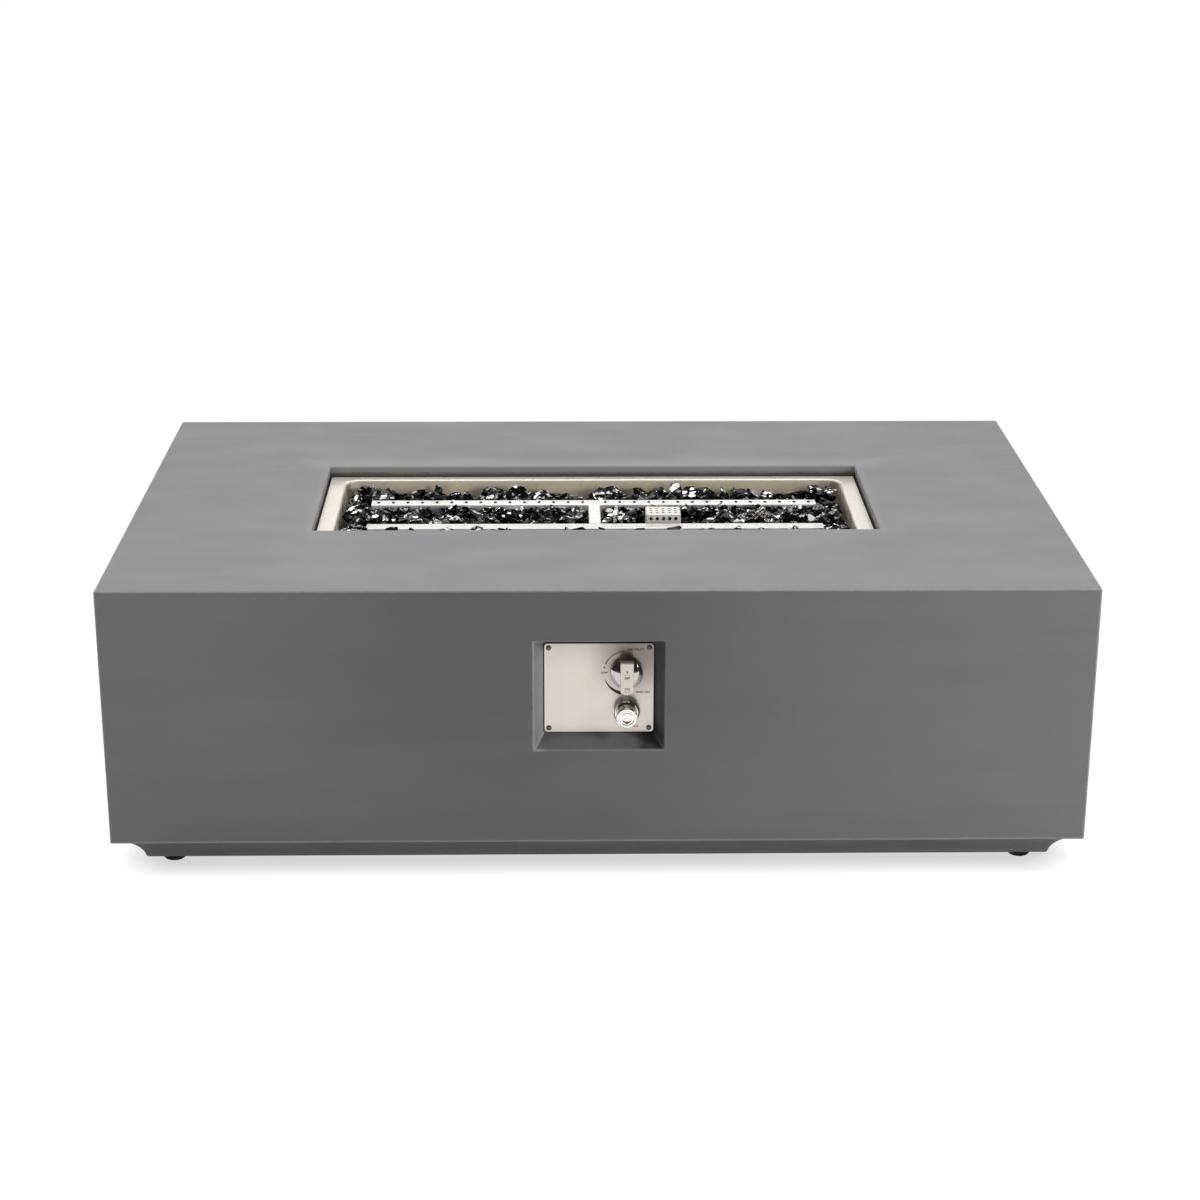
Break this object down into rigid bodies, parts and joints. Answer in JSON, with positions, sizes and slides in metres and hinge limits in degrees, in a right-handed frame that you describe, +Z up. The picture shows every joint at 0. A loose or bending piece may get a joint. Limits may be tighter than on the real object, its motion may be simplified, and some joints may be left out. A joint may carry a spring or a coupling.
{
  "type": "gas fire pit table",
  "caption": "Low rectangular cast fire pit table with a recessed burner pan of dark glass, an H burner, and a knob and igniter in a front recess.",
  "frame": {"origin": "on the ground under the middle of the table, with the levelling feet wound in", "axes": "+X along the table's length to the right as seen from the controls, +Y from the controls to the rear, +Z up"},
  "size_m": [1.22, 0.765, 0.381],
  "materials": {
    "concrete": "cast concrete look, fine grain, matt",
    "foot_black": "moulded, matt",
    "zinc_steel": "zinc plated",
    "pan_steel": "brushed along its length",
    "burner_steel": "satin",
    "black_fitting": "black malleable iron",
    "brass": "turned",
    "valve_alloy": "die cast",
    "ceramic": "glazed ceramic",
    "probe_steel": "plain",
    "grommet_rubber": "matt",
    "plate_steel": "brushed",
    "dark_screw": "black oxide",
    "chrome": "bright chrome plating",
    "black_plastic": "moulded",
    "cell_metal": "plain sleeve",
    "coated_line": "plain coated tube",
    "copper_lead": "drawn copper",
    "lead_rubber": "silicone sleeve",
    "fire_glass": "broken tempered black glass"
  },
  "bodies": {
    "table": {"air_mixer": "brass", "burner_cross_tube": "burner_steel", "burner_elbow": "black_fitting", "burner_end_caps": "burner_steel", "burner_front_tube": "burner_steel", "burner_locknuts": "zinc_steel", "burner_nipple": "zinc_steel", "burner_pan": "pan_steel", "burner_rear_tube": "burner_steel", "burner_stands": "burner_steel", "control_plate": "plate_steel", "electrode_insulator": "ceramic", "electrode_rod": "probe_steel", "fire_glass": "fire_glass", "flex_line_nuts": "brass", "foot_inserts": "zinc_steel", "gas_flex_line": "coated_line", "gas_inlet_elbow": "brass", "gas_orifice": "brass", "gas_valve_body": "valve_alloy", "igniter_barrel": "black_plastic", "igniter_cell": "cell_metal", "igniter_collar": "chrome", "igniter_locknut": "zinc_steel", "igniter_spring": "zinc_steel", "ignition_lead": "lead_rubber", "lead_grommets": "grommet_rubber", "pan_screws": "zinc_steel", "panel_backing_frame": "zinc_steel", "panel_gasket": "grommet_rubber", "panel_nuts": "zinc_steel", "panel_screws": "dark_screw", "pilot_bracket": "zinc_steel", "pilot_shield": "burner_steel", "table_shell": "concrete", "thermocouple_lead": "copper_lead", "thermocouple_nut": "brass", "thermocouple_probe": "probe_steel", "valve_bonnet": "brass", "valve_mount_screws": "zinc_steel", "valve_return_spring": "zinc_steel"},
    "safety_plunger": {"safety_plunger": "brass"},
    "knob": {"control_knob": "chrome", "valve_spindle": "brass"},
    "igniter_button": {"igniter_button": "chrome"},
    "foot_front_left": {"foot_pad_front_left": "foot_black", "foot_stem_front_left": "zinc_steel"},
    "foot_front_right": {"foot_pad_front_right": "foot_black", "foot_stem_front_right": "zinc_steel"},
    "foot_rear_left": {"foot_pad_rear_left": "foot_black", "foot_stem_rear_left": "zinc_steel"},
    "foot_rear_right": {"foot_pad_rear_right": "foot_black", "foot_stem_rear_right": "zinc_steel"}
  },
  "joints": [
    {"name": "knob_press", "type": "slide", "parent": "table", "child": "safety_plunger", "axis": [0, 1, 0], "range_m": [0, 0.0035], "stiffness_N_per_m": 1400, "springref_m": -0.003, "deforming": ["valve_return_spring"]},
    {"name": "knob_turn", "type": "hinge", "parent": "safety_plunger", "child": "knob", "pos_m": [0.034, -0.366, 0.2635], "axis": [0, -1, 0], "range_deg": [0, 180]},
    {"name": "igniter_press", "type": "slide", "parent": "table", "child": "igniter_button", "axis": [0, 1, 0], "range_m": [0, 0.0035], "stiffness_N_per_m": 1200, "springref_m": -0.003, "deforming": ["igniter_spring"]},
    {"name": "foot_level_front_left", "type": "slide", "parent": "table", "child": "foot_front_left", "axis": [0, 0, -1], "range_m": [0, 0.012]},
    {"name": "foot_level_front_right", "type": "slide", "parent": "table", "child": "foot_front_right", "axis": [0, 0, -1], "range_m": [0, 0.012]},
    {"name": "foot_level_rear_left", "type": "slide", "parent": "table", "child": "foot_rear_left", "axis": [0, 0, -1], "range_m": [0, 0.012]},
    {"name": "foot_level_rear_right", "type": "slide", "parent": "table", "child": "foot_rear_right", "axis": [0, 0, -1], "range_m": [0, 0.012]}
  ]
}
